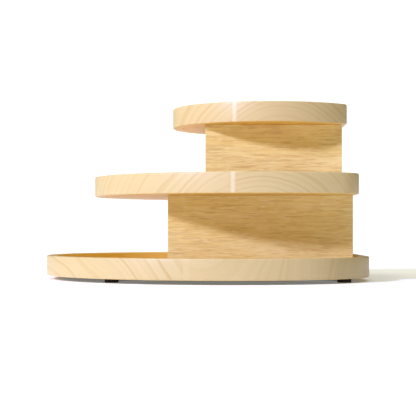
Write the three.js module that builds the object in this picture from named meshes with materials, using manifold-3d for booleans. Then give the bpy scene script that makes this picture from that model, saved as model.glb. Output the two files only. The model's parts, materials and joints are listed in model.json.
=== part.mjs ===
// A three-tier wooden spice carousel.
// Three D-shaped trays, each smaller than the one below, are stacked on two hollow risers.
// The whole stack turns on a ball bearing, which stands on a steel cross with four rubber feet.
// The round front faces -X, the flat back faces +X, and Z points up.
// Lengths are millimetres. Trays and risers are placed from the turning axis.

import * as THREE from 'three';
import { mergeVertices } from 'three/addons/utils/BufferGeometryUtils.js';
import Module from 'manifold-3d';

// ---------------------------------------------------------------- driving dimensions

// Wood stock that all three trays are made from
const RIM_WIDTH = 10;
const RIM_HEIGHT = 19.2;
const RIM_ROUND = 1.2;
const FLOOR_THICKNESS = 12;
const PANEL_THICKNESS = 9;
const FLOOR_GAP = 0.3;
const GLUE_GAP = 0.05;
const KEY_WIDTH = 5.5;

// Each tray is a circle cut off by a straight back, with rounded back corners.
// centre and back are measured along X from the turning axis. seam is the angle, from
// +X about the circle's centre, at which the bent front rail meets the back rail.
const BOTTOM = { radius: 178, centre: 0, back: 134, corner: 106, seam: 102 };
const MIDDLE = { radius: 156, centre: 25.5, back: 120.3, corner: 34, seam: 98 };
const TOP = { radius: 95, centre: 42, back: 114.5, corner: 13, seam: 112 };

// Risers: height is from the floor that the riser stands on to the tray that it carries
const LOWER_RISER_HEIGHT = 64.5;
const LOWER_RISER_LENGTH = 173.9;
const LOWER_RISER_HALF_WIDTH = 79;
const LOWER_RISER_BACK_GAP = 5.2;
const UPPER_RISER_HEIGHT = 56.1;
const UPPER_RISER_LENGTH = 130.5;
const UPPER_RISER_OVERHANG = 8.5;
const UPPER_RISER_BACK_GAP = 0.5;

// Base cross and feet
const FOOT_RADIUS = 6.4;
const FOOT_BOTTOM_RADIUS = 5.9;
const FOOT_PAD_HEIGHT = 1.4;
const FOOT_NECK_RADIUS = 2.2;
const FOOT_SKIN = 0.4;
const FOOT_EDGE_DISTANCE = 21.6;
const FOOT_ANGLE = 47.3;
const PLATE_THICKNESS = 1.6;
const ARM_TIP_WIDTH = 9;
const ARM_ROOT_WIDTH = 20;
const HUB_RADIUS = 43;
const TRAY_CLEARANCE = 0.5;

// Turntable bearing
const BALL_COUNT = 8;
const BALL_RADIUS = 2.5;
const BALL_CIRCLE_RADIUS = 42;
const BALL_CLEARANCE = 0.3;
const RACE_BITE = 0.5;
const INNER_RACE_BORE = 17;
const OUTER_RACE_RADIUS = 62;
const RACE_CLEARANCE = 0.8;
const RACE_SETBACK = 0.5;
const CAGE_THICKNESS = 1.8;
const CAGE_CLEARANCE = 0.4;
const CAGE_LIP = 0.8;
const POCKET_DEPTH = 7.4;
const POCKET_CLEARANCE = 2;

// Screws and dowels
const BEARING_SCREW_COUNT = 4;
const BEARING_SCREW_RADIUS = 1.5;
const BEARING_SCREW_HEAD_RADIUS = 2.9;
const BEARING_SCREW_HEAD_HEIGHT = 1.2;
const BASE_SCREW_REACH = 6;
const RACE_SCREW_REACH = 3;
const PANEL_SCREW_RADIUS = 1.7;
const PANEL_SCREW_HEAD_RADIUS = 3.6;
const PANEL_SCREW_HEAD_HEIGHT = 2.2;
const PANEL_SCREW_REACH = 22;
const SCREW_POINT = 2;
const SCREW_SINK = 0.2;
const DOWEL_RADIUS = 3;
const DOWEL_DEPTH = 10;
const DOWEL_FLOOR_DEPTH = 8;
const FASTENER_INSET = 14;
const HOLE_CLEARANCE = 0.3;

// Facets
const ARC_STEP = 5;
const CORNER_STEP = 10;
const ROUND_SIDES = 40;
const FOOT_SIDES = 32;
const SMALL_SIDES = 12;
const BALL_RINGS = 6;
const ROUND_SHARES = [0, 0.5, 1];
const TRACK_SHARES = [-1, -0.4, 0.4, 1];

// How far a cutting solid runs past the face that it opens
const OVERCUT = 1;

// ---------------------------------------------------------------- dimensions that follow

const DEGREE = Math.PI / 180;
const PLATE_BOTTOM = FOOT_PAD_HEIGHT;
const PLATE_TOP = PLATE_BOTTOM + PLATE_THICKNESS;
const BOTTOM_Z = PLATE_TOP + FOOT_SKIN + TRAY_CLEARANCE;
const MIDDLE_Z = BOTTOM_Z + FLOOR_THICKNESS + LOWER_RISER_HEIGHT;
const TOP_Z = MIDDLE_Z + FLOOR_THICKNESS + UPPER_RISER_HEIGHT;
const AXIS_X = (BOTTOM.radius - BOTTOM.back) / 2;
const FOOT_CIRCLE_RADIUS = BOTTOM.radius - FOOT_EDGE_DISTANCE;
const POCKET_TOP = BOTTOM_Z + POCKET_DEPTH;
const BALL_Z = (PLATE_TOP + POCKET_TOP) / 2;
const RACE_WALL = BALL_RADIUS - RACE_BITE;
const INNER_RACE_WALL = BALL_CIRCLE_RADIUS - RACE_WALL;
const OUTER_RACE_WALL = BALL_CIRCLE_RADIUS + RACE_WALL;
const BASE_SCREW_CIRCLE = (INNER_RACE_BORE + INNER_RACE_WALL) / 2;
const RACE_SCREW_CIRCLE = (OUTER_RACE_WALL + OUTER_RACE_RADIUS) / 2;

// ---------------------------------------------------------------- materials

function material(color, roughness, metalness = 0) {
  return () => new THREE.MeshStandardMaterial({ color, roughness, metalness });
}

const RIM_WOOD = material(0xecd5a6, 0.45);
const KEY_WOOD = material(0xf1dfb8, 0.45);
const FLOOR_WOOD = material(0xdcbf8a, 0.5);
const PANEL_WOOD = material(0xd9b47a, 0.55);
const DOWEL_WOOD = material(0xe0c592, 0.7);
const ZINC_STEEL = material(0xb9bcc0, 0.35, 0.9);
const RACE_METAL = material(0x9ea2a6, 0.4, 0.9);
const NYLON = material(0xe6e2d6, 0.6);
const RUBBER = material(0x17120f, 0.85);

// ---------------------------------------------------------------- solids

const wasm = await Module();
wasm.setup();

function toSolid(geometry) {
  const bare = geometry.clone();
  bare.deleteAttribute('normal');
  bare.deleteAttribute('uv');
  const merged = mergeVertices(bare);
  return new wasm.Manifold(new wasm.Mesh({
    numProp: 3,
    vertProperties: new Float32Array(merged.attributes.position.array),
    triVerts: new Uint32Array(merged.index.array),
  }));
}

function toGeometry(solid) {
  const mesh = solid.getMesh();
  const geometry = new THREE.BufferGeometry();
  geometry.setAttribute('position', new THREE.BufferAttribute(mesh.vertProperties, 3));
  geometry.setIndex(new THREE.BufferAttribute(mesh.triVerts, 1));
  return geometry;
}

function cut(geometry, tools) {
  const solid = tools.reduce((rest, tool) => rest.subtract(toSolid(tool)), toSolid(geometry));
  return toGeometry(solid);
}

function join(geometries) {
  const [first, ...others] = geometries.map(toSolid);
  return toGeometry(others.reduce((whole, other) => whole.add(other), first));
}

function cylinder(radius, low, high, sides = SMALL_SIDES) {
  const geometry = new THREE.CylinderGeometry(radius, radius, high - low, sides);
  return geometry.rotateX(Math.PI / 2).translate(0, 0, (low + high) / 2);
}

// A solid of revolution about Z from [radius, z] pairs listed upwards
function turned(profile, sides) {
  const points = profile.map(([radius, z]) => new THREE.Vector2(radius, z));
  return new THREE.LatheGeometry(points, sides).rotateX(Math.PI / 2);
}

function onCircle(geometry, radius, angle) {
  return geometry.translate(radius * Math.cos(angle), radius * Math.sin(angle), 0);
}

function aroundCircle(count, start = 0) {
  return Array.from({ length: count }, (_, index) => start + (2 * Math.PI * index) / count);
}

// ---------------------------------------------------------------- tray outlines

// A flat curve of arcs and lines. Equal steps of its parameter land on every piece's ends.
class OutlineCurve extends THREE.Curve {
  constructor(pieces) {
    super();
    this.pieces = pieces;
    this.steps = pieces.reduce((sum, piece) => sum + piece.steps, 0);
  }

  getUtoTmapping(u) {
    return u;
  }

  getPoint(t, target = new THREE.Vector3()) {
    let step = t * this.steps;
    let index = 0;
    while (index < this.pieces.length - 1 && step > this.pieces[index].steps) {
      step -= this.pieces[index].steps;
      index += 1;
    }
    const piece = this.pieces[index];
    const [x, y] = piece.at(step / piece.steps);
    return target.set(x, y, 0);
  }
}

// An arc takes an even number of steps, so that its middle is one of its points
function arc(x, y, radius, from, to, step) {
  return {
    steps: 2 * Math.ceil(Math.abs(to - from) / (2 * step * DEGREE)),
    at(share) {
      const angle = from + (to - from) * share;
      return [x + radius * Math.cos(angle), y + radius * Math.sin(angle)];
    },
  };
}

function line(x, from, to) {
  return { steps: 1, at: (share) => [x, from + (to - from) * share] };
}

// Where the corner arcs of a tray lie: they touch the circle and the straight back
function cornerOf(tray) {
  const x = tray.back - tray.corner;
  const y = Math.sqrt((tray.radius - tray.corner) ** 2 - (x - tray.centre) ** 2);
  return { x, y, angle: Math.atan2(y, x - tray.centre) };
}

function trayBow(tray, inset, from, to) {
  return arc(tray.centre, 0, tray.radius - inset, from, to, ARC_STEP);
}

function trayBack(tray, inset) {
  const corner = cornerOf(tray);
  const radius = tray.corner - inset;
  return [
    arc(corner.x, -corner.y, radius, -corner.angle, 0, CORNER_STEP),
    line(tray.back - inset, -corner.y, corner.y),
    arc(corner.x, corner.y, radius, 0, corner.angle, CORNER_STEP),
  ];
}

// How far back a tray's inner wall lies at a distance y from its middle line
function innerWallAt(tray, y) {
  const corner = cornerOf(tray);
  const beyond = Math.max(0, Math.abs(y) - corner.y);
  const radius = tray.corner - RIM_WIDTH;
  return corner.x + Math.sqrt(radius ** 2 - beyond ** 2);
}

// How far a tray's outside reaches sideways at a place x along its middle line
function sideReachAt(tray, x) {
  return Math.sqrt(tray.radius ** 2 - (x - tray.centre) ** 2);
}

// ---------------------------------------------------------------- trays

// The rail's section, with its top edges and lower outer edge rounded.
// Along the curve, the section's first axis points down and its second points inwards.
function railSection() {
  const quarter = Math.PI / 2;
  const inner = RIM_WIDTH - RIM_ROUND;
  const high = RIM_HEIGHT - RIM_ROUND;
  const rounds = [[RIM_ROUND, RIM_ROUND, 2], [RIM_ROUND, high, 1], [inner, high, 0]];
  const points = [[RIM_WIDTH, 0]];
  for (const [across, up, turn] of rounds) {
    for (const share of ROUND_SHARES) {
      const angle = (turn + 1 - share) * quarter;
      points.push([across + RIM_ROUND * Math.cos(angle), up + RIM_ROUND * Math.sin(angle)]);
    }
  }
  return new THREE.Shape(points.map(([across, up]) => new THREE.Vector2(-up, across)));
}

function rail(pieces) {
  const curve = new OutlineCurve(pieces);
  return new THREE.ExtrudeGeometry(railSection(), { steps: curve.steps, extrudePath: curve });
}

function frontRail(tray) {
  const start = tray.seam * DEGREE + (KEY_WIDTH / 2 + GLUE_GAP) / tray.radius;
  return rail([trayBow(tray, 0, start, 2 * Math.PI - start)]);
}

function backRail(tray) {
  const end = tray.seam * DEGREE - (KEY_WIDTH / 2 + GLUE_GAP) / tray.radius;
  const corner = cornerOf(tray);
  return rail([
    trayBow(tray, 0, -end, -corner.angle),
    ...trayBack(tray, 0),
    trayBow(tray, 0, corner.angle, end),
  ]);
}

// The key that closes the seam on one side: side is 1 for +Y and -1 for -Y
function railKey(tray, side) {
  const middle = side * tray.seam * DEGREE;
  const half = KEY_WIDTH / 2 / tray.radius;
  return rail([trayBow(tray, 0, middle - half, middle + half)]);
}

function floorBoard(tray) {
  const inset = RIM_WIDTH + FLOOR_GAP;
  const { angle } = cornerOf(tray);
  const curve = new OutlineCurve([
    trayBow(tray, inset, angle, 2 * Math.PI - angle),
    ...trayBack(tray, inset),
  ]);
  const points = curve.getSpacedPoints(curve.steps).slice(0, -1);
  const shape = new THREE.Shape(points.map(({ x, y }) => new THREE.Vector2(x, y)));
  return new THREE.ExtrudeGeometry(shape, { depth: FLOOR_THICKNESS, bevelEnabled: false });
}

// ---------------------------------------------------------------- risers

// The lower riser's back corners stand just inside the bottom tray's curved inner wall
const LOWER_RISER_BACK = innerWallAt(BOTTOM, LOWER_RISER_HALF_WIDTH) - LOWER_RISER_BACK_GAP;
const LOWER_RISER = {
  back: LOWER_RISER_BACK,
  front: LOWER_RISER_BACK - LOWER_RISER_LENGTH,
  halfWidth: LOWER_RISER_HALF_WIDTH,
  low: BOTTOM_Z + FLOOR_THICKNESS,
  high: MIDDLE_Z,
};

// The upper riser stands against the middle tray's back, and the top tray overhangs its sides
const UPPER_RISER_BACK = innerWallAt(MIDDLE, 0) - UPPER_RISER_BACK_GAP;
const UPPER_RISER = {
  back: UPPER_RISER_BACK,
  front: UPPER_RISER_BACK - UPPER_RISER_LENGTH,
  halfWidth: sideReachAt(TOP, UPPER_RISER_BACK) - UPPER_RISER_OVERHANG,
  low: MIDDLE_Z + FLOOR_THICKNESS,
  high: TOP_Z,
};

function board(from, to) {
  const size = to.map((value, axis) => value - from[axis]);
  const middle = to.map((value, axis) => (value + from[axis]) / 2);
  return new THREE.BoxGeometry(...size).translate(...middle);
}

// Where the fasteners sit in a riser's side panels: the middle of the panel, near its ends
function fastenerPlace(riser, end, side) {
  const x = end === 'front' ? riser.front + FASTENER_INSET : riser.back - FASTENER_INSET;
  return [x, side * (riser.halfWidth - PANEL_THICKNESS / 2)];
}

// Dowels stand at two opposite corners, so that a tray can't be put on the wrong way round
const DOWEL_CORNERS = [['front', 1], ['back', -1]];
const SCREW_CORNERS = [['front', 1], ['front', -1], ['back', 1], ['back', -1]];

function dowelHoles(riser, low, high) {
  return DOWEL_CORNERS.map(([end, side]) => {
    const [x, y] = fastenerPlace(riser, end, side);
    const hole = cylinder(DOWEL_RADIUS + HOLE_CLEARANCE, low - HOLE_CLEARANCE, high + HOLE_CLEARANCE);
    return hole.translate(x, y, 0);
  });
}

// ---------------------------------------------------------------- screws

// A countersunk screw that points up, with its head's flat face at z = 0
function screw(radius, headRadius, headHeight, length) {
  return turned([
    [0, 0],
    [headRadius, 0],
    [radius, headHeight],
    [radius, length - SCREW_POINT],
    [0, length],
  ], SMALL_SIDES);
}

// The hole that such a screw goes into, open below the head
function screwHole(radius, headRadius, headHeight, length) {
  return turned([
    [0, -OVERCUT],
    [headRadius + HOLE_CLEARANCE, -OVERCUT],
    [headRadius + HOLE_CLEARANCE, 0],
    [radius + HOLE_CLEARANCE, headHeight],
    [radius + HOLE_CLEARANCE, length + HOLE_CLEARANCE],
    [0, length + HOLE_CLEARANCE],
  ], SMALL_SIDES);
}

const BASE_SCREW = {
  z: PLATE_BOTTOM + SCREW_SINK,
  size: [
    BEARING_SCREW_RADIUS,
    BEARING_SCREW_HEAD_RADIUS,
    BEARING_SCREW_HEAD_HEIGHT,
    PLATE_THICKNESS + BASE_SCREW_REACH,
  ],
};
const RACE_SCREW = {
  z: BOTTOM_Z + RACE_SETBACK + SCREW_SINK,
  size: [
    BEARING_SCREW_RADIUS,
    BEARING_SCREW_HEAD_RADIUS,
    BEARING_SCREW_HEAD_HEIGHT,
    POCKET_DEPTH - RACE_SETBACK - SCREW_SINK + RACE_SCREW_REACH,
  ],
};
const PANEL_SCREW = {
  z: BOTTOM_Z + SCREW_SINK,
  size: [
    PANEL_SCREW_RADIUS,
    PANEL_SCREW_HEAD_RADIUS,
    PANEL_SCREW_HEAD_HEIGHT,
    FLOOR_THICKNESS + PANEL_SCREW_REACH,
  ],
};

function screwHolesOnCircle(kind, radius) {
  return aroundCircle(BEARING_SCREW_COUNT).map((angle) => (
    onCircle(screwHole(...kind.size).translate(0, 0, kind.z), radius, angle)
  ));
}

function panelScrewHoles() {
  return SCREW_CORNERS.map(([end, side]) => {
    const [x, y] = fastenerPlace(LOWER_RISER, end, side);
    return screwHole(...PANEL_SCREW.size).translate(x, y, PANEL_SCREW.z);
  });
}

// ---------------------------------------------------------------- base and bearing

function footAngles() {
  const angle = FOOT_ANGLE * DEGREE;
  return [angle, Math.PI - angle, Math.PI + angle, -angle];
}

// One bar of the cross: a flat strip, widest at the axis, whose round ends reach two feet
function crossBar(angle) {
  const tip = ARM_TIP_WIDTH / 2;
  const shape = new THREE.Shape();
  shape.moveTo(0, -ARM_ROOT_WIDTH / 2);
  shape.absarc(FOOT_CIRCLE_RADIUS, 0, tip, -Math.PI / 2, Math.PI / 2);
  shape.lineTo(0, ARM_ROOT_WIDTH / 2);
  shape.absarc(-FOOT_CIRCLE_RADIUS, 0, tip, Math.PI / 2, (3 * Math.PI) / 2);
  const settings = { depth: PLATE_THICKNESS, bevelEnabled: false, curveSegments: SMALL_SIDES };
  return new THREE.ExtrudeGeometry(shape, settings).rotateZ(angle).translate(0, 0, PLATE_BOTTOM);
}

function baseCross() {
  const angle = FOOT_ANGLE * DEGREE;
  const plate = join([
    cylinder(HUB_RADIUS, PLATE_BOTTOM, PLATE_TOP, ROUND_SIDES),
    crossBar(angle),
    crossBar(-angle),
  ]);
  const low = PLATE_BOTTOM - OVERCUT;
  const high = PLATE_TOP + OVERCUT;
  const footHoles = footAngles().map((place) => (
    onCircle(cylinder(FOOT_NECK_RADIUS, low, high), FOOT_CIRCLE_RADIUS, place)
  ));
  return cut(plate, [...footHoles, ...screwHolesOnCircle(BASE_SCREW, BASE_SCREW_CIRCLE)]);
}

// A rubber foot, moulded round the end of an arm and through the hole in it
function foot(angle, cross) {
  const block = turned([
    [0, 0],
    [FOOT_BOTTOM_RADIUS, 0],
    [FOOT_RADIUS, FOOT_PAD_HEIGHT / 2],
    [FOOT_RADIUS, PLATE_TOP + FOOT_SKIN],
    [0, PLATE_TOP + FOOT_SKIN],
  ], FOOT_SIDES);
  return cut(onCircle(block, FOOT_CIRCLE_RADIUS, angle), [cross]);
}

// The points of the channel that the balls run in, upwards along a race's wall.
// side is -1 for the inner race, whose channel is on its outside, and 1 for the outer race.
function ballTrack(side) {
  const radius = BALL_RADIUS + BALL_CLEARANCE;
  const reach = Math.acos(RACE_WALL / radius);
  return TRACK_SHARES.map((share) => [
    BALL_CIRCLE_RADIUS + side * radius * Math.cos(share * reach),
    BALL_Z + radius * Math.sin(share * reach),
  ]);
}

function innerRace() {
  const high = POCKET_TOP - RACE_CLEARANCE;
  const ring = turned([
    [INNER_RACE_BORE, PLATE_TOP],
    [INNER_RACE_WALL, PLATE_TOP],
    ...ballTrack(-1),
    [INNER_RACE_WALL, high],
    [INNER_RACE_BORE, high],
    [INNER_RACE_BORE, PLATE_TOP],
  ], ROUND_SIDES);
  return cut(ring, screwHolesOnCircle(BASE_SCREW, BASE_SCREW_CIRCLE));
}

function outerRace() {
  const low = BOTTOM_Z + RACE_SETBACK;
  const ring = turned([
    [OUTER_RACE_WALL, low],
    [OUTER_RACE_RADIUS, low],
    [OUTER_RACE_RADIUS, POCKET_TOP],
    [OUTER_RACE_WALL, POCKET_TOP],
    ...ballTrack(1).reverse(),
    [OUTER_RACE_WALL, low],
  ], ROUND_SIDES);
  return cut(ring, screwHolesOnCircle(RACE_SCREW, RACE_SCREW_CIRCLE));
}

// The cage is a thin ring with one open-topped pocket for each ball
function ballCage() {
  const half = CAGE_THICKNESS / 2;
  const low = PLATE_TOP + CAGE_CLEARANCE;
  const high = BALL_Z + CAGE_LIP;
  const ring = turned([
    [BALL_CIRCLE_RADIUS - half, low],
    [BALL_CIRCLE_RADIUS + half, low],
    [BALL_CIRCLE_RADIUS + half, high],
    [BALL_CIRCLE_RADIUS - half, high],
    [BALL_CIRCLE_RADIUS - half, low],
  ], ROUND_SIDES);
  const pockets = aroundCircle(BALL_COUNT).map((angle) => {
    const radius = BALL_RADIUS + BALL_CLEARANCE;
    const length = CAGE_THICKNESS + 2 * OVERCUT;
    const pocket = new THREE.CylinderGeometry(radius, radius, length, SMALL_SIDES);
    return pocket.rotateZ(Math.PI / 2).translate(BALL_CIRCLE_RADIUS, 0, BALL_Z).rotateZ(angle);
  });
  return cut(ring, pockets);
}

function ball(angle) {
  const sphere = new THREE.SphereGeometry(BALL_RADIUS, SMALL_SIDES, BALL_RINGS);
  return onCircle(sphere.rotateX(Math.PI / 2).translate(0, 0, BALL_Z), BALL_CIRCLE_RADIUS, angle);
}

// ---------------------------------------------------------------- assembly

function piece(group, name, geometry, makeMaterial, z = 0) {
  const mesh = new THREE.Mesh(geometry, makeMaterial());
  mesh.name = name;
  mesh.position.z = z;
  group.add(mesh);
}

function addBase(group) {
  const cross = baseCross();
  piece(group, 'base_cross', cross, ZINC_STEEL);
  const names = ['back_left', 'front_left', 'front_right', 'back_right'];
  footAngles().forEach((angle, index) => {
    piece(group, `foot_${names[index]}`, foot(angle, cross), RUBBER);
  });
  piece(group, 'inner_race', innerRace(), RACE_METAL);
  aroundCircle(BEARING_SCREW_COUNT).forEach((angle, index) => {
    const geometry = onCircle(screw(...BASE_SCREW.size), BASE_SCREW_CIRCLE, angle);
    piece(group, `base_screw_${index + 1}`, geometry, ZINC_STEEL, BASE_SCREW.z);
  });
}

function addCage(group) {
  piece(group, 'ball_cage', ballCage(), NYLON);
  aroundCircle(BALL_COUNT).forEach((angle, index) => {
    piece(group, `ball_${index + 1}`, ball(angle), ZINC_STEEL);
  });
}

function addBearingTop(group) {
  piece(group, 'outer_race', outerRace(), RACE_METAL);
  aroundCircle(BEARING_SCREW_COUNT).forEach((angle, index) => {
    const geometry = onCircle(screw(...RACE_SCREW.size), RACE_SCREW_CIRCLE, angle);
    piece(group, `race_screw_${index + 1}`, geometry, ZINC_STEEL, RACE_SCREW.z);
  });
}

// A tray: two rails, the keys that join them, and a floor whose holes are given in the
// carousel's own heights
function addTray(group, name, tray, z, holes) {
  piece(group, `${name}_rail_front`, frontRail(tray), RIM_WOOD, z);
  piece(group, `${name}_rail_back`, backRail(tray), RIM_WOOD, z);
  piece(group, `${name}_key_left`, railKey(tray, 1), KEY_WOOD, z);
  piece(group, `${name}_key_right`, railKey(tray, -1), KEY_WOOD, z);
  piece(group, `${name}_floor`, cut(floorBoard(tray).translate(0, 0, z), holes), FLOOR_WOOD);
}

// A riser is a box without top or bottom: two sides, with the front and back between them
function addRiser(group, name, riser, holes) {
  const { front, back, halfWidth, low, high } = riser;
  const within = halfWidth - PANEL_THICKNESS;
  const left = board([front, within, low], [back, halfWidth, high]);
  const right = board([front, -halfWidth, low], [back, -within, high]);
  const frontPanel = board([front, -within, low], [front + PANEL_THICKNESS, within, high]);
  const backPanel = board([back - PANEL_THICKNESS, -within, low], [back, within, high]);
  piece(group, `${name}_side_left`, cut(left, holes), PANEL_WOOD);
  piece(group, `${name}_side_right`, cut(right, holes), PANEL_WOOD);
  piece(group, `${name}_front`, frontPanel, PANEL_WOOD);
  piece(group, `${name}_back`, backPanel, PANEL_WOOD);
}

function addDowels(group, name, riser, low, high) {
  DOWEL_CORNERS.forEach(([end, side], index) => {
    const [x, y] = fastenerPlace(riser, end, side);
    const geometry = cylinder(DOWEL_RADIUS, low, high).translate(x, y, 0);
    piece(group, `${name}_dowel_${index + 1}`, geometry, DOWEL_WOOD);
  });
}

function addPanelScrews(group) {
  SCREW_CORNERS.forEach(([end, side], index) => {
    const [x, y] = fastenerPlace(LOWER_RISER, end, side);
    const geometry = screw(...PANEL_SCREW.size).translate(x, y, 0);
    piece(group, `panel_screw_${index + 1}`, geometry, ZINC_STEEL, PANEL_SCREW.z);
  });
}

function addCarousel(group) {
  const lowerTop = [LOWER_RISER, MIDDLE_Z - DOWEL_DEPTH, MIDDLE_Z + DOWEL_FLOOR_DEPTH];
  const upperBottom = [UPPER_RISER, UPPER_RISER.low - DOWEL_FLOOR_DEPTH, UPPER_RISER.low + DOWEL_DEPTH];
  const upperTop = [UPPER_RISER, TOP_Z - DOWEL_DEPTH, TOP_Z + DOWEL_FLOOR_DEPTH];
  const pocketRadius = OUTER_RACE_RADIUS + POCKET_CLEARANCE;
  const bottomHoles = [
    cylinder(pocketRadius, BOTTOM_Z - OVERCUT, POCKET_TOP, ROUND_SIDES),
    ...screwHolesOnCircle(RACE_SCREW, RACE_SCREW_CIRCLE),
    ...panelScrewHoles(),
  ];
  addBearingTop(group);
  addTray(group, 'bottom', BOTTOM, BOTTOM_Z, bottomHoles);
  addRiser(group, 'lower_riser', LOWER_RISER, [...panelScrewHoles(), ...dowelHoles(...lowerTop)]);
  addPanelScrews(group);
  addTray(group, 'middle', MIDDLE, MIDDLE_Z, [...dowelHoles(...lowerTop), ...dowelHoles(...upperBottom)]);
  addDowels(group, 'middle_under', ...lowerTop);
  addRiser(group, 'upper_riser', UPPER_RISER, [...dowelHoles(...upperBottom), ...dowelHoles(...upperTop)]);
  addDowels(group, 'middle_over', ...upperBottom);
  addTray(group, 'top', TOP, TOP_Z, dowelHoles(...upperTop));
  addDowels(group, 'top_under', ...upperTop);
}

function spiceCarousel() {
  const whole = new THREE.Group();
  whole.position.x = AXIS_X;
  for (const add of [addBase, addCage, addCarousel]) {
    const group = new THREE.Group();
    add(group);
    whole.add(group);
  }
  return whole;
}

export default spiceCarousel();
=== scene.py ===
"""The looks of a three-tier wooden spice carousel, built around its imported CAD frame.

Lengths are metres. The round front faces -X, the flat back faces +X and Z points up.
"""

import json
import math

import bmesh
import bpy
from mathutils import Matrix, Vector


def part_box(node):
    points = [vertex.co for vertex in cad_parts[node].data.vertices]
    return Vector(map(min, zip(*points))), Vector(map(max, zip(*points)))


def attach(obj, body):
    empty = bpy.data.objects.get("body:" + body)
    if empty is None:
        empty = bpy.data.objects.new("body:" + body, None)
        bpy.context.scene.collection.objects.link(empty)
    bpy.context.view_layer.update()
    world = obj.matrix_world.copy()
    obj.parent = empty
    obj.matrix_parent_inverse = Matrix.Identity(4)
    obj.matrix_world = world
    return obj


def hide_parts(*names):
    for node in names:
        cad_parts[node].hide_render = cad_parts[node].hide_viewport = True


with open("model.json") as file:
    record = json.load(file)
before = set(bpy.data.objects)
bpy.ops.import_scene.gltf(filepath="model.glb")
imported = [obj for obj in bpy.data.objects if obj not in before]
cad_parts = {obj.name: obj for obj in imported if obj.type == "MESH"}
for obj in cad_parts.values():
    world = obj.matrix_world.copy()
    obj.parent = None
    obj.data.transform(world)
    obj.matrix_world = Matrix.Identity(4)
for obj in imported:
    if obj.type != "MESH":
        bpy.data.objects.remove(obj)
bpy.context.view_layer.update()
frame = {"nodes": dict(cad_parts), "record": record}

# ---------------------------------------------------------------- driving values

MM = 0.001
DEGREE = math.pi / 180

# Tray rails. The corner radii and seam angles are the CAD source's.
TRAYS = ("bottom", "middle", "top")
CORNER_RADIUS = {"bottom": 106 * MM, "middle": 34 * MM, "top": 13 * MM}
SEAM_ANGLE = {"bottom": 102 * DEGREE, "middle": 98 * DEGREE, "top": 112 * DEGREE}
RIM_WIDTH = 10 * MM
KEY_WIDTH = 5.5 * MM
GLUE_GAP = 0.05 * MM
TOP_ROUND = 1.3 * MM
BOTTOM_ROUND = 1.0 * MM
INNER_BOTTOM_ROUND = 0.3 * MM
ROUND_STEPS = 5
BOW_STEP = 1.25 * DEGREE
CORNER_STEP = 3 * DEGREE
LINE_STEP = 12 * MM
# A fine mesh is shaded sharp over edges that turn by more than this
SHARP_ANGLE = 35 * DEGREE

# Finishes by material slot: two colours, mottle size, metalness, roughness limits and bump
FINISHES = {
    "zinc_steel": (((0.62, 0.64, 0.66), (0.74, 0.76, 0.78)), 1.5 * MM, 1.0, (0.3, 0.45), 0.01 * MM),
    "bearing_steel": (((0.78, 0.79, 0.81), (0.84, 0.85, 0.87)), 2.0 * MM, 1.0, (0.08, 0.14), 0.002 * MM),
    "nylon": (((0.80, 0.77, 0.68), (0.86, 0.83, 0.75)), 2.0 * MM, 0.0, (0.5, 0.62), 0.01 * MM),
    "rubber": (((0.016, 0.008, 0.004), (0.030, 0.015, 0.008)), 0.8 * MM, 0.0, (0.62, 0.8), 0.03 * MM),
}

# Widths of the rounded edges on CAD nodes, where an edge turns by more than the angle
ROUNDED_ANGLE = 50 * DEGREE
RISER_EDGE = 0.5 * MM
ROUNDED_NODES = {
    "base_cross": 0.25 * MM,
    "foot_back_left": 0.35 * MM,
    "foot_front_left": 0.35 * MM,
    "foot_front_right": 0.35 * MM,
    "foot_back_right": 0.35 * MM,
    "inner_race": 0.2 * MM,
    "outer_race": 0.2 * MM,
}

# Balls and screws, with the CAD source's shank radii and head heights
BALL_COUNT = 8
BALL_STEPS = 20
SCREW_COUNT = 4
SCREW_SIDES = 48
SCREW_POINT = 2 * MM
SCREW_CHAMFER = (0.1 * MM, 0.08 * MM)
SCREWS = {
    "base_screw": ("base", 1.5 * MM, 1.2 * MM),
    "race_screw": ("carousel", 1.5 * MM, 1.2 * MM),
    "panel_screw": ("carousel", 1.7 * MM, 2.2 * MM),
}
# The cross recess: its depth as a share of the head's height, and the half width and reach of
# its arms, at the bottom and at the top, as shares of the head's radius
RECESS_DEPTH = 0.6
RECESS_BOTTOM = (0.10, 0.48)
RECESS_TOP = (0.16, 0.60)

# Studio lamps: the direction that the light travels in, its strength, softness and colour
LAMPS = {
    "key": (Vector((1.05, 1.0, -0.68)), 2.36, 7 * DEGREE, (0.94, 1.0, 1.68)),
    "top": (Vector((0.05, 0.05, -1.0)), 1.75, 70 * DEGREE, (1.0, 1.0, 0.92)),
}
# The dome is brightest on the side that the key light comes from
DOME_BRIGHT_SIDE = (-1.0, 0.0, 0.0)
DOME_COLOUR = (1.12, 1.0, 0.68)
DOME_SIDE_STRENGTH = 0.78
DOME_STRENGTH = 0.03
BACKGROUND_STRENGTH = 1.15

# The stage is a square floor that reaches this far each way and glows faintly
STAGE_REACH = 12.0
STAGE_COLOURS = ((0.91, 0.92, 0.93), (0.93, 0.94, 0.95))
STAGE_GLOW = 0.12
STAGE_GLOW_COLOUR = (1.0, 1.0, 0.92)

# Most values of a noise lie in this range
NOISE_RANGE = (0.3, 0.7)

# Noise scales per metre, along each axis. A rail's axes are its length, depth and height, a
# riser board's are its own X, Y and Z, and the others are the frame's.
RAIL_FIBRE_SCALE = (14.0, 500.0, 700.0)
RAIL_CLOUD_SCALE = 14.0
PANEL_PATCH_SCALE = (4.0, 30.0, 40.0)
PANEL_STREAK_SCALE = (30.0, 330.0, 440.0)
PANEL_DASH_SCALE = (58.0, 560.0, 760.0)
PANEL_FLECK_SCALE = (130.0, 600.0, 700.0)
FLOOR_RING_SCALE = (85.0, 3.0, 40.0)
FLOOR_FIBRE_SCALE = (700.0, 16.0, 500.0)
DOWEL_FIBRE_SCALE = (900.0, 900.0, 30.0)

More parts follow.
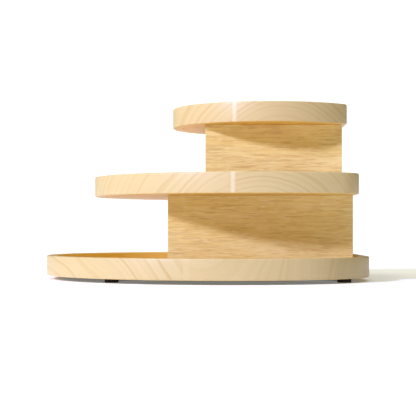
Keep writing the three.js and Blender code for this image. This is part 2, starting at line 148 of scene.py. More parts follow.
# Rail wood: colours within a growth ring, and the tints that its fibres and cloudy patches add
RAIL_EARLY = (0.660, 0.510, 0.240)
RAIL_LATE = (0.560, 0.385, 0.145)
RAIL_FIBRE = (0.50, 0.32, 0.13)
RAIL_CLOUD = (0.620, 0.435, 0.190)
RAIL_COAT = 0.12
# A growth ring is darkest at this share of its width
RING_PEAK = 0.93

# Riser boards, from the pale ground to the darkest dashes and the palest flecks
PANEL_LIGHT = (0.820, 0.660, 0.270)
PANEL_DARK = (0.780, 0.590, 0.185)
PANEL_LINE = (0.64, 0.41, 0.10)
PANEL_DASH = (0.50, 0.28, 0.07)
PANEL_FLECK = (0.86, 0.73, 0.40)
PANEL_COAT = 0.08

# Tray floors, glued up from staves
STAVE_WIDTH = 42 * MM
STAVE_SEAM = 0.35 * MM
FLOOR_EARLY = (0.900, 0.660, 0.220)
FLOOR_LATE = (0.840, 0.560, 0.150)
FLOOR_STAVE = (0.80, 0.52, 0.15)
FLOOR_FIBRE = (0.55, 0.33, 0.11)
FLOOR_SEAM = (0.36, 0.20, 0.07)
FLOOR_ROUGHNESS = 0.42
FLOOR_COAT = 0.05
# Painted shade: the bottom floor's underside is a dull grey, set so that the shadow on the stage under
# the tray comes out dark and neutral
GREY_SHADE_LIGHT = (0.38, 0.36, 0.34)
GREY_SHADE_DARK = (0.29, 0.27, 0.25)

# Painted shade: the undersides and the inner walls take a deeper amber, the tint of the light
# bounced into their shade. On the inner walls it sets in between these depths from the outer wall
INNER_WALL_DEPTH = (8 * MM, 9.8 * MM)
INNER_WALL_SHADE = (0.84, 0.56, 0.13)
UNDERSIDE_SHADE = (0.74, 0.47, 0.09)
UNDERSIDE_SHADE_LATE = (0.66, 0.41, 0.07)
LACQUER_ROUGHNESS = 0.25
LACQUER_IOR = 1.5

# The upper trays' keys have a pale middle, which fades out between these distances from it
KEY_COLOUR = (0.74, 0.64, 0.43)
KEY_FADE = (1.0 * MM, 2.6 * MM)

# Beech dowels, and the marks that a lathe leaves on the bearing's races
DOWEL_LIGHT = (0.74, 0.55, 0.30)
DOWEL_DARK = (0.62, 0.42, 0.19)
RACE_DARK = (0.58, 0.59, 0.60)
RACE_LIGHT = (0.74, 0.75, 0.77)
LATHE_MARK = 0.25 * MM

# The camera is level, and the shift raises the horizon to where the photograph has it
CAMERA_PLACE = Vector((3.8 * MM, -1300 * MM, 48.9 * MM))
CAMERA_LENS = 112.5
CAMERA_SENSOR = 36.0
CAMERA_SHIFT = 0.0501
EXPOSURE = 0.08


# ---------------------------------------------------------------- meshes

def finish_mesh(mesh):
    """Points the faces outwards and shades them smooth, apart from the sharp edges."""
    work = bmesh.new()
    work.from_mesh(mesh)
    bmesh.ops.recalc_face_normals(work, faces=work.faces)
    work.to_mesh(mesh)
    work.free()
    mesh.polygons.foreach_set("use_smooth", [True] * len(mesh.polygons))
    mesh.set_sharp_from_angle(angle=SHARP_ANGLE)
    mesh.update()


def add_piece(name, mesh, material, body, slot, *nodes):
    """Adds a mesh as a piece that rides on a body and stands for CAD nodes."""
    mesh.materials.append(material)
    obj = bpy.data.objects.new(name, mesh)
    bpy.context.scene.collection.objects.link(obj)
    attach(obj, body)
    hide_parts(*nodes)
    return obj


def arc(x, y, radius, start, end, step):
    """Stations (x, y, normal x, normal y) along an arc, with the normal facing out."""
    count = max(2, math.ceil(abs(end - start) / step))
    for index in range(count + 1):
        angle = start + (end - start) * index / count
        across, up = math.cos(angle), math.sin(angle)
        yield x + radius * across, y + radius * up, across, up


def straight(x, start, end):
    """Stations along a line of constant x that faces +X."""
    count = max(1, math.ceil(abs(end - start) / LINE_STEP))
    for index in range(count + 1):
        yield x, start + (end - start) * index / count, 1.0, 0.0


def joined(*runs):
    """One list of stations from several runs, without a station where two runs meet."""
    stations = []
    for run in runs:
        for station in run:
            meets = stations and math.dist(stations[-1][:2], station[:2]) < 1e-6
            if not meets:
                stations.append(station)
    return stations


def rail_section(low, high):
    """The rail's closed outline as (depth from the outer wall, height) pairs."""
    rounds = [
        (TOP_ROUND, high - TOP_ROUND, TOP_ROUND, 180),
        (RIM_WIDTH - TOP_ROUND, high - TOP_ROUND, TOP_ROUND, 90),
        (RIM_WIDTH - INNER_BOTTOM_ROUND, low + INNER_BOTTOM_ROUND, INNER_BOTTOM_ROUND, 0),
        (BOTTOM_ROUND, low + BOTTOM_ROUND, BOTTOM_ROUND, -90),
    ]
    points = []
    for depth, height, radius, start in rounds:
        for step in range(ROUND_STEPS + 1):
            angle = (start - 90 * step / ROUND_STEPS) * DEGREE
            points.append((depth + radius * math.cos(angle), height + radius * math.sin(angle)))
    return points


def sweep(name, stations, section):
    """A closed solid along the stations. Its point attribute grain holds, in metres, the
    length along the stations from their middle, the depth and the height."""
    lengths = [0.0]
    for first, second in zip(stations, stations[1:]):
        lengths.append(lengths[-1] + math.dist(first[:2], second[:2]))
    middle = lengths[-1] / 2
    places, grain = [], []
    for (x, y, across, up), length in zip(stations, lengths):
        for depth, height in section:
            places.append((x - across * depth, y - up * depth, height))
            grain.append((length - middle, depth, height))
    size = len(section)
    faces = []
    for station in range(len(stations) - 1):
        for side in range(size):
            beside = (side + 1) % size
            base = station * size
            faces.append((base + side, base + beside, base + size + beside, base + size + side))
    last = (len(stations) - 1) * size
    faces.append(tuple(range(size)))
    faces.append(tuple(range(last, last + size)))
    mesh = bpy.data.meshes.new(name)
    mesh.from_pydata(places, [], faces)
    attribute = mesh.attributes.new("grain", "FLOAT_VECTOR", "POINT")
    attribute.data.foreach_set("vector", [value for point in grain for value in point])
    finish_mesh(mesh)
    return mesh


def ring_points(work, radius, height, sides):
    """Vertices round the Z axis. The radius is a number, or a function of the angle."""
    if radius == 0:
        return [work.verts.new((0, 0, height))]
    points = []
    for side in range(sides):
        angle = 2 * math.pi * side / sides
        reach = radius(angle) if callable(radius) else radius
        points.append(work.verts.new((reach * math.cos(angle), reach * math.sin(angle), height)))
    return points


def lathe(name, place, profile, sides):
    """A closed solid about a vertical axis through place, from (radius, height) pairs that
    start and end on the axis."""
    work = bmesh.new()
    rings = [ring_points(work, radius, height, sides) for radius, height in profile]
    for low, high in zip(rings, rings[1:]):
        for side in range(sides):
            beside = (side + 1) % sides
            pair = [low[side % len(low)], low[beside % len(low)]]
            pair += [high[beside % len(high)], high[side % len(high)]]
            work.faces.new(dict.fromkeys(pair))
    bmesh.ops.translate(work, verts=work.verts, vec=place)
    mesh = bpy.data.meshes.new(name)
    work.to_mesh(mesh)
    work.free()
    finish_mesh(mesh)
    return mesh


# ---------------------------------------------------------------- trays

def tray_plan(name):
    """A tray's circle, straight back and corner arcs, from its rails' boxes."""
    front_low, front_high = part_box(f"{name}_rail_front")
    _, back_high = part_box(f"{name}_rail_back")
    radius = back_high.y
    centre = front_low.x + radius
    corner = CORNER_RADIUS[name]
    corner_x = back_high.x - corner
    corner_y = math.sqrt((radius - corner) ** 2 - (corner_x - centre) ** 2)
    return {
        "radius": radius,
        "centre": centre,
        "back": back_high.x,
        "corner": corner,
        "corner_x": corner_x,
        "corner_y": corner_y,
        "corner_angle": math.atan2(corner_y, corner_x - centre),
        "low": front_low.z,
        "high": front_high.z,
    }


def bow(plan, start, end):
    return arc(plan["centre"], 0, plan["radius"], start, end, BOW_STEP)


def back_corner(plan, start, end, side):
    return arc(plan["corner_x"], side * plan["corner_y"], plan["corner"], start, end, CORNER_STEP)


def front_rail_stations(plan, seam):
    start = seam + (KEY_WIDTH / 2 + GLUE_GAP) / plan["radius"]
    return joined(bow(plan, start, 2 * math.pi - start))


def back_rail_stations(plan, seam):
    end = seam - (KEY_WIDTH / 2 + GLUE_GAP) / plan["radius"]
    turn = plan["corner_angle"]
    return joined(
        bow(plan, -end, -turn),
        back_corner(plan, -turn, 0, -1),
        straight(plan["back"], -plan["corner_y"], plan["corner_y"]),
        back_corner(plan, 0, turn, 1),
        bow(plan, turn, end),
    )


def key_stations(plan, seam, side):
    half = KEY_WIDTH / 2 / plan["radius"]
    return joined(bow(plan, side * seam - half, side * seam + half))


def build_rails(name, woods):
    """A tray's two rails and two keys. woods has a material for front, back and key."""
    plan = tray_plan(name)
    seam = SEAM_ANGLE[name]
    section = rail_section(plan["low"], plan["high"])
    wanted = {
        f"{name}_rail_front": (front_rail_stations(plan, seam), "front", "rail_wood"),
        f"{name}_rail_back": (back_rail_stations(plan, seam), "back", "rail_wood"),
        f"{name}_key_left": (key_stations(plan, seam, 1), "key", "key_wood"),
        f"{name}_key_right": (key_stations(plan, seam, -1), "key", "key_wood"),
    }
    for node, (stations, part, slot) in wanted.items():
        mesh = sweep(f"fine_{node}", stations, section)
        add_piece(f"fine_{node}", mesh, woods[part], "carousel", slot, node)


# ---------------------------------------------------------------- balls and screws

def node_place(name):
    """The middle of a node's underside, its largest radius and its height."""
    low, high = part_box(name)
    middle = (low + high) / 2
    return Vector((middle.x, middle.y, low.z)), (high.y - low.y) / 2, high.z - low.z


def build_balls(material):
    for index in range(1, BALL_COUNT + 1):
        node = f"ball_{index}"
        place, radius, height = node_place(node)
        steps = (math.pi * step / BALL_STEPS for step in range(1, BALL_STEPS))
        middle = [(radius * math.sin(turn), radius * (1 - math.cos(turn))) for turn in steps]
        profile = [(0, height / 2 - radius), *[(r, z + height / 2 - radius) for r, z in middle]]
        profile.append((0, height / 2 + radius))
        mesh = lathe(f"fine_{node}", place, profile, 2 * BALL_STEPS)
        add_piece(f"fine_{node}", mesh, material, "cage", "bearing_steel", node)


def cross_outline(head, shares):
    """The outline of a cross recess in a head of that radius, as a radius for each angle."""
    half_width, reach = (share * head for share in shares)

    def radius(angle):
        across, up = abs(math.cos(angle)) + 1e-9, abs(math.sin(angle)) + 1e-9
        return max(min(reach / across, half_width / up), min(reach / up, half_width / across))
    return radius


def build_screws(kind, body, shank, head_height, material):
    """Countersunk screws that point up, each with a cross recess in its flat head."""
    inset, rise = SCREW_CHAMFER
    for index in range(1, SCREW_COUNT + 1):
        node = f"{kind}_{index}"
        place, head, length = node_place(node)
        profile = [
            (0, RECESS_DEPTH * head_height),
            (cross_outline(head, RECESS_BOTTOM), RECESS_DEPTH * head_height),
            (cross_outline(head, RECESS_TOP), 0),
            (head - inset, 0),
            (head, rise),
            (shank, head_height),
            (shank, length - SCREW_POINT),
            (0, length),
        ]
        mesh = lathe(f"fine_{node}", place, profile, SCREW_SIDES)
        add_piece(f"fine_{node}", mesh, material, body, "zinc_steel", node)


# ---------------------------------------------------------------- material tools

class Shader:
    """A material's node tree, built one node at a time."""

    def __init__(self, name):
        self.material = bpy.data.materials.new(name)
        self.material.use_nodes = True
        self.tree = self.material.node_tree
        self.surface = self.tree.nodes["Principled BSDF"]

    def feed(self, socket, value):
        if isinstance(value, bpy.types.NodeSocket):
            self.tree.links.new(value, socket)
        else:
            socket.default_value = value

    def node(self, kind, inputs=(), **settings):
        made = self.tree.nodes.new(f"ShaderNode{kind}")
        for key, value in settings.items():
            setattr(made, key, value)
        for key, value in dict(inputs).items():
            self.feed(made.inputs[key], value)
        return made

    def place(self):
        """Where the shaded point is, in the frame that all pieces share."""
        return self.node("TexCoord").outputs["Object"]

    def attribute(self, name):
        return self.node("Attribute", attribute_name=name).outputs["Vector"]

    def math(self, operation, first, second=0.0):
        return self.node("Math", {0: first, 1: second}, operation=operation).outputs[0]

    def vector(self, operation, first, second):
        return self.node("VectorMath", {0: first, 1: second}, operation=operation).outputs[0]

    def length(self, vector):
        return self.node("VectorMath", {0: vector}, operation="LENGTH").outputs["Value"]

    def stretched(self, vector, scale, offset=(0, 0, 0)):
        """The vector times scale, axis by axis, moved by offset."""
        inputs = {"Vector": vector, "Scale": scale, "Location": offset}
        return self.node("Mapping", inputs).outputs[0]

    def local(self, vector, origin, turn):
        """The vector seen from a frame at origin, turned by the Euler angles turn."""
        inputs = {"Vector": vector, "Location": origin, "Rotation": turn}
        return self.node("Mapping", inputs, vector_type="TEXTURE").outputs[0]

    def noise(self, vector, scale=1.0, detail=2.0, roughness=0.5):
        inputs = {"Vector": vector, "Scale": scale, "Detail": detail, "Roughness": roughness}
        return self.node("TexNoise", inputs)

    def line_noise(self, value, scale):
        """Noise that varies with one number only."""
        inputs = {"W": value, "Scale": scale, "Detail": 2.0, "Roughness": 0.5}
        return self.node("TexNoise", inputs, noise_dimensions="1D").outputs[0]

    def spread(self, value, low, high, to_low=0.0, to_high=1.0, smooth=False):
        """Maps low..high of a value to to_low..to_high, clamped."""
        names = ("Value", "From Min", "From Max", "To Min", "To Max")
        inputs = dict(zip(names, (value, low, high, to_low, to_high)))
        kind = "SMOOTHSTEP" if smooth else "LINEAR"
        return self.node("MapRange", inputs, interpolation_type=kind).outputs[0]

    def mix(self, share, first, second):
        """The first colour where share is 0, and the second where it is 1."""
        made = self.node("Mix", data_type="RGBA")
        self.feed(made.inputs[0], share)
        self.feed(made.inputs[6], first)
        self.feed(made.inputs[7], second)
        return made.outputs[2]

    def faces_down(self):
        """1 where the surface faces the floor, 0 where it is upright or faces up."""
        normal = self.node("NewGeometry").outputs["Normal"]
        return self.spread(self.node("SeparateXYZ", {0: normal}).outputs[2], -0.95, -0.6, 1.0, 0.0)

    def bump(self, height, distance, strength):
        inputs = {"Height": height, "Distance": distance, "Strength": strength}
        return self.node("Bump", inputs).outputs[0]


def opaque(red, green, blue, tone=1.0):
    return (red * tone, green * tone, blue * tone, 1.0)


# ---------------------------------------------------------------- woods

def wobbled(shader, place, size, amount, detail=2.0):
    """The place, moved about by noise of that size, by about the amount in metres."""
    drift = shader.noise(place, scale=1 / size, detail=detail).outputs["Color"]
    centred = shader.vector("SUBTRACT", drift, (0.5, 0.5, 0.5))
    moved = shader.vector("MULTIPLY", centred, (2 * amount,) * 3)
    return shader.vector("ADD", place, moved)


def ring_distance(shader, place, pith, lean):
    """Distance from a log's pith, which runs along Y through pith = (x, z), leaning by the
    Euler angles lean."""
    local = shader.local(place, (pith[0], 0.0, pith[1]), lean)
    return shader.length(shader.stretched(local, (1.0, 0.0, 1.0)))


def satin(shader, roughness, coat):
    """A clear lacquer. The roughness is a number or a socket."""
    shader.feed(shader.surface.inputs["Roughness"], roughness)
    shader.surface.inputs["Coat Weight"].default_value = coat
    shader.surface.inputs["Coat Roughness"].default_value = LACQUER_ROUGHNESS
    shader.surface.inputs["IOR"].default_value = LACQUER_IOR


def growth_rings(shader, reach, ring, start):
    """How late in its year's growth the wood at that distance from the pith is, from 0 to 1.
    Each ring darkens from start, a share of its width, and ends sharply, some more than others."""
    drift = shader.line_noise(reach, 0.3 / ring)
    phase = shader.math("ADD", shader.math("DIVIDE", reach, ring), shader.math("MULTIPLY", drift, 2.5))
    share = shader.math("FRACT", phase)
    year = shader.math("FLOOR", phase)
    weight = shader.node("TexWhiteNoise", {"W": year}, noise_dimensions="1D").outputs["Value"]
    rise = shader.spread(share, start, RING_PEAK, smooth=True)
    fall = shader.spread(share, RING_PEAK, 1.0, 1.0, 0.0)
    ring_depth = shader.spread(weight, 0.1, 1.0, 0.15, 1.0)
    return shader.math("MULTIPLY", shader.math("MULTIPLY", rise, fall), ring_depth)


def ringed_colour(shader, pith, lean, ring, tone, contrast, start):
    """Pale birch with growth rings and finer lines between them."""
    bent = wobbled(shader, shader.place(), 90 * MM, 7 * MM, detail=1.0)
    bent = wobbled(shader, bent, 22 * MM, 0.7 * MM)
    reach = ring_distance(shader, bent, pith, lean)
    late_share = growth_rings(shader, reach, ring, start)
    early = opaque(*RAIL_EARLY, tone=tone)
    late = opaque(*RAIL_LATE, tone=tone)
    colour = shader.mix(shader.math("MULTIPLY", late_share, contrast), early, late)
    fine = shader.line_noise(reach, 4 / ring)
    line = shader.spread(fine, 0.40, 0.65, 0.0, 0.22 * contrast)
    return shader.mix(line, colour, late)


def rail_wood(name, pith, lean, ring, tone=1.0, contrast=1.0, start=0.25, pale=0.0):
    """Lacquered birch whose rings are cut from a log with that pith. pale is how strongly a
    key's middle stands out."""
    shader = Shader(name)
    grain = shader.attribute("grain")
    fibre_place = shader.stretched(grain, RAIL_FIBRE_SCALE)
    fibre = shader.noise(fibre_place, detail=3.0, roughness=0.6).outputs[0]
    cloud = shader.noise(shader.place(), scale=RAIL_CLOUD_SCALE).outputs[0]
    colour = ringed_colour(shader, pith, lean, ring, tone, contrast, start)
    shade = shader.spread(fibre, *NOISE_RANGE, 0.0, 0.10)
    colour = shader.mix(shade, colour, opaque(*RAIL_FIBRE))
    warm = shader.spread(cloud, 0.35, 0.7, 0.0, 0.15)
    colour = shader.mix(warm, colour, opaque(*RAIL_CLOUD, tone=tone))
    along, depth, _ = shader.node("SeparateXYZ", {0: grain}).outputs
    strip = shader.spread(shader.math("ABSOLUTE", along), *KEY_FADE, pale, 0.0)
    colour = shader.mix(strip, colour, opaque(*KEY_COLOUR))
    # Painted shade: the inner walls turn a deeper amber, for the amber light bounced into their shade
    inner = shader.spread(depth, *INNER_WALL_DEPTH)
    colour = shader.mix(inner, colour, opaque(*INNER_WALL_SHADE))
    # Painted shade: the undersides turn a deeper amber, for the shade under them
    colour = shader.mix(shader.faces_down(), colour, opaque(*UNDERSIDE_SHADE))
    shader.feed(shader.surface.inputs["Base Color"], colour)
    satin(shader, shader.spread(fibre, 0.25, 0.75, 0.36, 0.5), RAIL_COAT)
    shader.feed(shader.surface.inputs["Normal"], shader.bump(fibre, 0.04 * MM, 0.6))
    return shader.material


def panel_wood(name, turn, offset):
    """An oak-like board with fine wavy grain along its own X. turn and offset place each
    board in a log of its own."""
    shader = Shader(name)
    local = shader.local(shader.place(), offset, turn)
    bent = wobbled(shader, local, 50 * MM, 1.2 * MM)
    bent = wobbled(shader, bent, 12 * MM, 0.5 * MM)
    patch = shader.noise(shader.stretched(bent, PANEL_PATCH_SCALE)).outputs[0]
    streak_place = shader.stretched(bent, PANEL_STREAK_SCALE)
    streak = shader.noise(streak_place, detail=3.0, roughness=0.65).outputs[0]
    dash = shader.noise(shader.stretched(bent, PANEL_DASH_SCALE), detail=1.5).outputs[0]
    fleck_place = shader.stretched(bent, PANEL_FLECK_SCALE, (3.0, 1.0, 2.0))
    fleck = shader.noise(fleck_place, detail=0.0).outputs[0]
    patches = shader.spread(patch, 0.34, 0.66, smooth=True)
    colour = shader.mix(patches, opaque(*PANEL_LIGHT), opaque(*PANEL_DARK))
    lines = shader.spread(streak, 0.42, 0.64, 0.0, 0.50)
    colour = shader.mix(lines, colour, opaque(*PANEL_LINE))
    dashes = shader.spread(dash, 0.52, 0.70, 0.0, 0.50)
    colour = shader.mix(dashes, colour, opaque(*PANEL_DASH))
    flecks = shader.spread(fleck, 0.62, 0.72, 0.0, 0.35)
    colour = shader.mix(flecks, colour, opaque(*PANEL_FLECK))
    shader.feed(shader.surface.inputs["Base Color"], colour)
    satin(shader, shader.spread(streak, 0.25, 0.75, 0.42, 0.58), PANEL_COAT)
    height = shader.math("SUBTRACT", streak, dashes)
    shader.feed(shader.surface.inputs["Normal"], shader.bump(height, 0.06 * MM, 0.7))
    return shader.material


def floor_underside(shader, grey_shade, rings, fibre):
    """The floor's underside, in painted shade: a dull grey for the bottom tray, which keeps the shadow
    under it dark and neutral, and the amber of the undersides' shade for the others.
    """
    if grey_shade:
        # Painted shade: a dull grey underside that darkens the shadow under the bottom tray
        share = shader.spread(fibre, *NOISE_RANGE)
        return shader.mix(share, opaque(*GREY_SHADE_LIGHT), opaque(*GREY_SHADE_DARK))
    # Painted shade: amber undersides, for the shade under the trays
    share = shader.spread(rings, *NOISE_RANGE)
    return shader.mix(share, opaque(*UNDERSIDE_SHADE), opaque(*UNDERSIDE_SHADE_LATE))


def floor_wood(name, offset, grey_shade_below):
    """A tray floor of glued staves that run along Y."""
    shader = Shader(name)
    place = shader.stretched(shader.place(), (1.0, 1.0, 1.0), (offset, offset, 0.0))
    across = shader.node("SeparateXYZ", {0: place}).outputs[0]
    stave = shader.math("FLOOR", shader.math("DIVIDE", across, STAVE_WIDTH))
    lot = shader.node("TexWhiteNoise", {"W": stave}, noise_dimensions="1D")
    shift = shader.vector("MULTIPLY", lot.outputs["Color"], (0.1, 3.0, 0.5))
    bent = wobbled(shader, shader.vector("ADD", place, shift), 70 * MM, 4 * MM)
    rings = shader.noise(shader.stretched(bent, FLOOR_RING_SCALE)).outputs[0]
    fibre_place = shader.stretched(bent, FLOOR_FIBRE_SCALE)
    fibre = shader.noise(fibre_place, detail=3.0, roughness=0.6).outputs[0]
    late_share = shader.spread(rings, 0.35, 0.65, smooth=True)
    colour = shader.mix(late_share, opaque(*FLOOR_EARLY), opaque(*FLOOR_LATE))
    stave_tint = shader.spread(lot.outputs["Value"], 0, 1, 0.0, 0.30)
    colour = shader.mix(stave_tint, colour, opaque(*FLOOR_STAVE))
    colour = shader.mix(shader.spread(fibre, 0.4, 0.8, 0.0, 0.3), colour, opaque(*FLOOR_FIBRE))
    edge = shader.math("PINGPONG", across, STAVE_WIDTH / 2)
    seam = shader.spread(edge, 0.0, STAVE_SEAM, 0.35, 0.0)
    colour = shader.mix(seam, colour, opaque(*FLOOR_SEAM))
    # Painted shade: the face-down side takes the underside's colours
    below = floor_underside(shader, grey_shade_below, rings, fibre)
    colour = shader.mix(shader.faces_down(), colour, below)
    shader.feed(shader.surface.inputs["Base Color"], colour)
    satin(shader, FLOOR_ROUGHNESS, FLOOR_COAT)
    shader.feed(shader.surface.inputs["Normal"], shader.bump(fibre, 0.05 * MM, 0.6))
    return shader.material


def dowel_wood():
    """Plain beech with its fibres along Z."""
    shader = Shader("dowel_wood")
    place = shader.stretched(shader.place(), DOWEL_FIBRE_SCALE)
    fibre = shader.noise(place, detail=3.0).outputs[0]
    share = shader.spread(fibre, *NOISE_RANGE)
    colour = shader.mix(share, opaque(*DOWEL_LIGHT), opaque(*DOWEL_DARK))
    shader.feed(shader.surface.inputs["Base Color"], colour)
    shader.surface.inputs["Roughness"].default_value = 0.7
    return shader.material


# ---------------------------------------------------------------- metals and plastics

def mottled(name, colours, size, metal, roughness, bump_depth):
    """A plain finish whose tone, roughness and height vary a little with noise. colours and
    roughness are pairs of limits."""
    shader = Shader(name)
    noise = shader.noise(shader.place(), scale=1 / size, detail=4.0, roughness=0.6).outputs[0]
    first, second = colours
    colour = shader.mix(shader.spread(noise, *NOISE_RANGE), opaque(*first), opaque(*second))
    shader.feed(shader.surface.inputs["Base Color"], colour)
    shader.surface.inputs["Metallic"].default_value = metal
    shader.feed(shader.surface.inputs["Roughness"], shader.spread(noise, *NOISE_RANGE, *roughness))
    shader.feed(shader.surface.inputs["Normal"], shader.bump(noise, bump_depth, 0.5))
    return shader.material


def turned_metal(name, centre):
    """Metal with the fine round marks of a lathe about a vertical axis."""
    shader = Shader(name)
    local = shader.local(shader.place(), centre, (0, 0, 0))
    reach = shader.length(shader.stretched(local, (1.0, 1.0, 0.0)))
    marks = shader.line_noise(reach, 1 / LATHE_MARK)
    share = shader.spread(marks, *NOISE_RANGE)
    colour = shader.mix(share, opaque(*RACE_DARK), opaque(*RACE_LIGHT))
    shader.feed(shader.surface.inputs["Base Color"], colour)
    shader.surface.inputs["Metallic"].default_value = 1.0
    shader.feed(shader.surface.inputs["Roughness"], shader.spread(marks, *NOISE_RANGE, 0.28, 0.42))
    shader.feed(shader.surface.inputs["Normal"], shader.bump(marks, 0.02 * MM, 0.5))
    return shader.material


def upper_rail_woods(name):
    """The woods of the middle or top tray's rails and keys, cut from one log whose pith runs
    below them."""
    plan = tray_plan(name)
    pith = (plan["centre"] + 12 * MM, (plan["low"] + plan["high"]) / 2 - 50 * MM)
    lean = (6 * DEGREE, 0, -4 * DEGREE)
    return {
        "front": rail_wood(f"{name}_front_rail_wood", pith, lean, ring=6.5 * MM, tone=0.98, contrast=0.8),
        "back": rail_wood(f"{name}_back_rail_wood", pith, lean, ring=5 * MM, tone=0.97, contrast=0.8),
        "key": rail_wood(f"{name}_key_wood", pith, lean, ring=5 * MM, contrast=0.5, pale=0.6),
    }


def bottom_rail_woods():
    """The woods of the bottom tray, whose front rail has leaning rings. The grain of its back
    rail and keys runs lengthwise."""
    plan = tray_plan("bottom")
    middle = (plan["low"] + plan["high"]) / 2
    pith = (plan["centre"] - 208 * MM, middle - 112 * MM)
    upright = (0, 0, 0)
    front = rail_wood(
        "bottom_front_rail_wood", pith, upright, ring=13 * MM, tone=0.91, contrast=1.1, start=0.62
    )
    pith = (plan["centre"] + 40 * MM, middle - 30 * MM)
    lengthwise = (0, 0, 82 * DEGREE)
    ring = 4 * MM
    return {
        "front": front,
        "back": rail_wood("bottom_back_rail_wood", pith, lengthwise, ring, tone=0.93, contrast=0.6),
        "key": rail_wood("bottom_key_wood", pith, lengthwise, ring, tone=0.95, contrast=0.4),
    }


# ---------------------------------------------------------------- carried-over CAD nodes

def paint(material, name):
    mesh = frame["nodes"][name].data
    mesh.materials.clear()
    mesh.materials.append(material)


def soften(name, width):
    """Rounds a CAD node's sharp edges with modifiers. Its own mesh stays as it is."""
    obj = frame["nodes"][name]
    weld = obj.modifiers.new("weld", "WELD")
    weld.merge_threshold = 0.001 * MM
    bevel = obj.modifiers.new("bevel", "BEVEL")
    bevel.width = width
    bevel.segments = 2
    bevel.limit_method = "ANGLE"
    bevel.angle_limit = ROUNDED_ANGLE


def paint_risers():
    """Each riser board gets a wood of its own, whose grain runs along the board."""
    along_x, along_y = (0, 0, 0), (0, 0, 90 * DEGREE)
    boards = {"side_left": along_x, "side_right": along_x, "front": along_y, "back": along_y}
    for storey, riser in enumerate(("lower_riser", "upper_riser")):
        for index, (part, turn) in enumerate(boards.items()):
            node = f"{riser}_{part}"
            offset = (0.31 * index + 0.17 * storey, 0.4 * storey, 0.023 * index)
            paint(panel_wood(f"{node}_wood", turn, offset), node)
            soften(node, RISER_EDGE)


def make_finishes():
    """The plain finishes of the base, the bearing and the fasteners."""
    low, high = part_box("inner_race")
    axis = (low + high) / 2
    return {name: mottled(name, *values) for name, values in FINISHES.items()} | {
        "race_metal": turned_metal("turned_metal", (axis.x, axis.y, 0.0)),
        "dowel_wood": dowel_wood(),
    }


def paint_base_and_bearing(finishes):
    """Paints the CAD nodes whose material slot in the record has a plain finish."""
    for part in frame["record"]["subparts"]:
        node, slot = part["node"], part["material_slot"]
        if slot in finishes:
            paint(finishes[slot], node)
        if node in ROUNDED_NODES:
            soften(node, ROUNDED_NODES[node])


def paint_floors():
    for index, name in enumerate(TRAYS):
        wood = floor_wood(f"{name}_floor_wood", 0.013 * index, grey_shade_below=name == "bottom")
        paint(wood, f"{name}_floor")


# ---------------------------------------------------------------- stage

def build_stage():
    shader = Shader("pale_floor")
    tone = shader.noise(shader.place(), scale=3.0).outputs[0]
    first, second = STAGE_COLOURS
    colour = shader.mix(shader.spread(tone, *NOISE_RANGE), opaque(*first), opaque(*second))
    shader.feed(shader.surface.inputs["Base Color"], colour)
    shader.surface.inputs["Roughness"].default_value = 0.9
    shader.surface.inputs["Specular IOR Level"].default_value = 0.0
    shader.surface.inputs["Emission Color"].default_value = opaque(*STAGE_GLOW_COLOUR)
    shader.surface.inputs["Emission Strength"].default_value = STAGE_GLOW
    mesh = bpy.data.meshes.new("floor")
    work = bmesh.new()
    bmesh.ops.create_grid(work, x_segments=8, y_segments=8, size=STAGE_REACH)
    work.to_mesh(mesh)
    work.free()
    mesh.materials.append(shader.material)
    floor = bpy.data.objects.new("floor", mesh)
    bpy.context.scene.collection.objects.link(floor)


def build_lamps():
    for name, (direction, strength, softness, colour) in LAMPS.items():
        light = bpy.data.lights.new(name, "SUN")
        light.energy = strength
        light.angle = softness
        light.color = colour
        lamp = bpy.data.objects.new(name, light)
        lamp.rotation_mode = "QUATERNION"
        lamp.rotation_quaternion = direction.to_track_quat("-Z", "Y")
        bpy.context.scene.collection.objects.link(lamp)


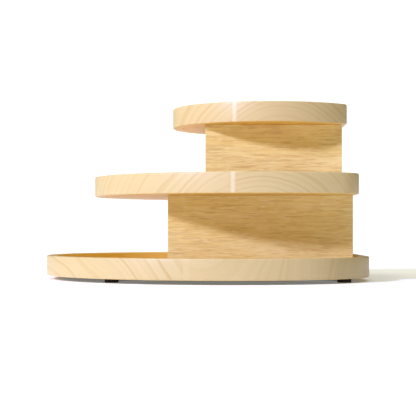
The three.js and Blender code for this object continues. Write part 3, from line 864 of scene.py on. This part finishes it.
def light_dome(tree):
    """The output of a dome whose light comes mostly from one side."""
    dome = tree.nodes["Background"]
    dome.inputs["Color"].default_value = opaque(*DOME_COLOUR)
    direction = tree.nodes.new("ShaderNodeTexCoord").outputs["Generated"]
    side = tree.nodes.new("ShaderNodeVectorMath")
    side.operation = "DOT_PRODUCT"
    side.inputs[1].default_value = DOME_BRIGHT_SIDE
    strength = tree.nodes.new("ShaderNodeMapRange")
    strength.inputs["From Min"].default_value = 0.0
    strength.inputs["To Min"].default_value = DOME_STRENGTH
    strength.inputs["To Max"].default_value = DOME_STRENGTH + DOME_SIDE_STRENGTH
    tree.links.new(direction, side.inputs[0])
    tree.links.new(side.outputs["Value"], strength.inputs["Value"])
    tree.links.new(strength.outputs[0], dome.inputs["Strength"])
    return dome.outputs[0]


def build_world():
    """The dome lights the object, and the camera sees plain white behind it."""
    world = bpy.data.worlds.new("studio")
    bpy.context.scene.world = world
    world.use_nodes = True
    tree = world.node_tree
    white = tree.nodes.new("ShaderNodeBackground")
    white.inputs["Color"].default_value = opaque(1.0, 1.0, 1.0)
    white.inputs["Strength"].default_value = BACKGROUND_STRENGTH
    path = tree.nodes.new("ShaderNodeLightPath")
    mix = tree.nodes.new("ShaderNodeMixShader")
    tree.links.new(path.outputs["Is Camera Ray"], mix.inputs["Fac"])
    tree.links.new(light_dome(tree), mix.inputs[1])
    tree.links.new(white.outputs[0], mix.inputs[2])
    tree.links.new(mix.outputs[0], tree.nodes["World Output"].inputs["Surface"])


def build_camera():
    data = bpy.data.cameras.new("camera")
    data.lens = CAMERA_LENS
    data.sensor_width = CAMERA_SENSOR
    data.shift_y = CAMERA_SHIFT
    data.clip_start = 0.05
    data.clip_end = 60.0
    camera = bpy.data.objects.new("camera", data)
    camera.location = CAMERA_PLACE
    camera.rotation_euler = (90 * DEGREE, 0, 0)
    bpy.context.scene.collection.objects.link(camera)
    bpy.context.scene.camera = camera


# ---------------------------------------------------------------- assembly

build_camera()
build_stage()
build_lamps()
build_world()
build_rails("bottom", bottom_rail_woods())
for tray in ("middle", "top"):
    build_rails(tray, upper_rail_woods(tray))
paint_risers()
finishes = make_finishes()
paint_base_and_bearing(finishes)
build_balls(finishes["bearing_steel"])
for kind, (body, shank, head_height) in SCREWS.items():
    build_screws(kind, body, shank, head_height, finishes["zinc_steel"])
paint_floors()

view = bpy.context.scene.view_settings
view.view_transform = "Standard"
view.look = "None"
view.exposure = EXPOSURE
